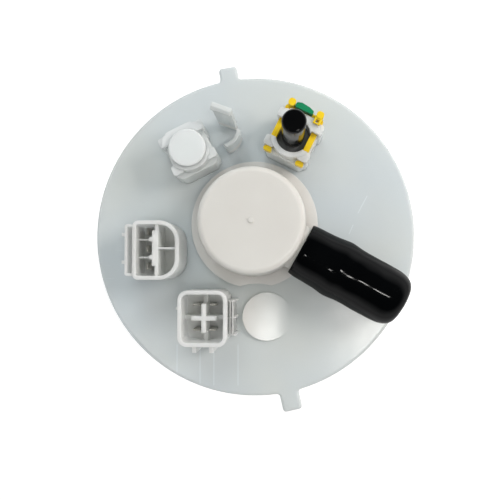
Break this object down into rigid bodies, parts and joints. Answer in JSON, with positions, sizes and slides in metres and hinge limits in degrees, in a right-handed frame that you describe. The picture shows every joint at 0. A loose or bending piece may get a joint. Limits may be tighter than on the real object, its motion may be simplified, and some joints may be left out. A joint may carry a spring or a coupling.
{
  "type": "fuel pump module",
  "caption": "In-tank fuel pump module: round flange with vent dome, ports and connectors on top, and a sprung reservoir with pump, filter and level float below.",
  "frame": {"origin": "centre of the flange's seal face, where the skirt drops into the tank's neck", "axes": "+Z out of the tank along the flange's axis; +Y towards the two quick-connect ports; +X towards the side that the vapour nipple leaves"},
  "size_m": [0.14, 0.1523, 0.2292],
  "materials": {
    "milky_pom": "milky translucent acetal, satin gloss",
    "housing_pom": "moulded acetal, satin",
    "black_cap": "glossy black vinyl",
    "yellow_clip": "yellow acetal",
    "green_latch": "green acetal",
    "smoke_tube": "smoky translucent nylon",
    "black_plastic": "glass-filled nylon, black",
    "hose_nylon": "corrugated nylon, black",
    "tin_contact": "tin-plated brass",
    "steel": "zinc-plated steel",
    "spring_steel": "drawn spring wire",
    "rubber": "fluorocarbon rubber",
    "filter_paper": "pleated filter paper",
    "strainer_mesh": "woven nylon mesh",
    "magnet": "ferrite",
    "armature_iron": "laminated iron with copper windings",
    "copper": "copper",
    "carbon": "carbon",
    "ceramic_card": "alumina with thick-film tracks",
    "float_foam": "closed-cell rubber foam",
    "wire_red": "insulated lead",
    "wire_blue": "insulated lead"
  },
  "bodies": {
    "flange": {"flange": "milky_pom", "vent_housing": "milky_pom", "vent_cage": "housing_pom", "outlet_socket": "milky_pom", "blank_socket": "milky_pom", "outlet_spigot": "smoke_tube", "outlet_oring": "rubber", "blank_plug": "milky_pom", "pump_connector": "milky_pom", "pump_contacts": "tin_contact", "pump_harness_plug": "black_plastic", "sender_connector": "milky_pom", "sender_contacts": "tin_contact", "sender_harness_plug": "black_plastic", "guide_rods": "steel", "rod_clips": "spring_steel"},
    "vent_float": {"vent_float": "housing_pom", "vent_seal": "rubber", "vent_float_spring": "spring_steel"},
    "vent_cap": {"vent_cap": "black_cap"},
    "outlet_cap": {"outlet_cap": "black_cap"},
    "retainer": {"outlet_retainer": "yellow_clip", "outlet_latch": "green_latch"},
    "reservoir": {"reservoir": "housing_pom", "reservoir_lid": "housing_pom", "filter_case": "black_plastic", "filter_element": "filter_paper", "filter_cover": "black_plastic", "crossover_pipe": "black_plastic", "regulator": "steel", "regulator_oring": "rubber", "regulator_clip": "spring_steel", "pump_can": "steel", "pump_end_cap": "black_plastic", "pump_inlet_cover": "black_plastic", "pump_chamber": "black_plastic", "pump_magnets": "magnet", "pump_brushes": "carbon", "pump_plug": "black_plastic", "pump_isolator": "rubber", "strainer_neck": "black_plastic", "strainer": "strainer_mesh", "jet_pump": "housing_pom", "sender_body": "black_plastic", "sender_card": "ceramic_card", "guide_springs": "spring_steel", "fuel_hose": "hose_nylon", "pump_wires": "wire_red", "sender_wires": "wire_blue"},
    "pump_rotor": {"pump_armature": "armature_iron", "pump_commutator": "copper", "pump_shaft": "steel", "pump_impeller": "black_plastic"},
    "check_valve": {"check_valve": "housing_pom"},
    "fill_flap": {"fill_flap": "rubber"},
    "float_arm": {"sender_wiper": "copper", "arm_hub": "housing_pom", "float_arm": "steel", "fuel_float": "float_foam"}
  },
  "joints": [
    {"name": "reservoir_slide", "type": "slide", "parent": "flange", "child": "reservoir", "axis": [0, 0, 1], "range_m": [0, 0.025], "stiffness_N_per_m": 600, "springref_m": -0.025, "deforming": ["guide_springs", "fuel_hose", "pump_wires", "sender_wires"]},
    {"name": "float_arm_hinge", "type": "hinge", "parent": "reservoir", "child": "float_arm", "pos_m": [-0.01801, 0, -0.104], "axis": [0, -1, 0], "range_deg": [0, 78]},
    {"name": "pump_rotor_spin", "type": "hinge", "parent": "reservoir", "child": "pump_rotor", "pos_m": [0, 0.006, -0.124], "axis": [0, 0, 1], "continuous": true},
    {"name": "vent_float_slide", "type": "slide", "parent": "flange", "child": "vent_float", "axis": [0, 0, 1], "range_m": [0, 0.004], "deforming": ["vent_float_spring"]},
    {"name": "check_valve_lift", "type": "slide", "parent": "reservoir", "child": "check_valve", "axis": [0, 0, 1], "range_m": [0, 0.002]},
    {"name": "fill_flap_lift", "type": "slide", "parent": "reservoir", "child": "fill_flap", "axis": [0, 0, 1], "range_m": [0, 0.001]},
    {"name": "outlet_cap_pull", "type": "slide", "parent": "flange", "child": "outlet_cap", "axis": [0, 0, 1], "range_m": [0, 0.03]},
    {"name": "vent_cap_pull", "type": "slide", "parent": "flange", "child": "vent_cap", "axis": [0.8746, -0.4848, 0], "range_m": [0, 0.05]},
    {"name": "retainer_pull", "type": "slide", "parent": "flange", "child": "retainer", "axis": [0.4509, 0.8926, 0], "range_m": [0, 0.004]}
  ]
}
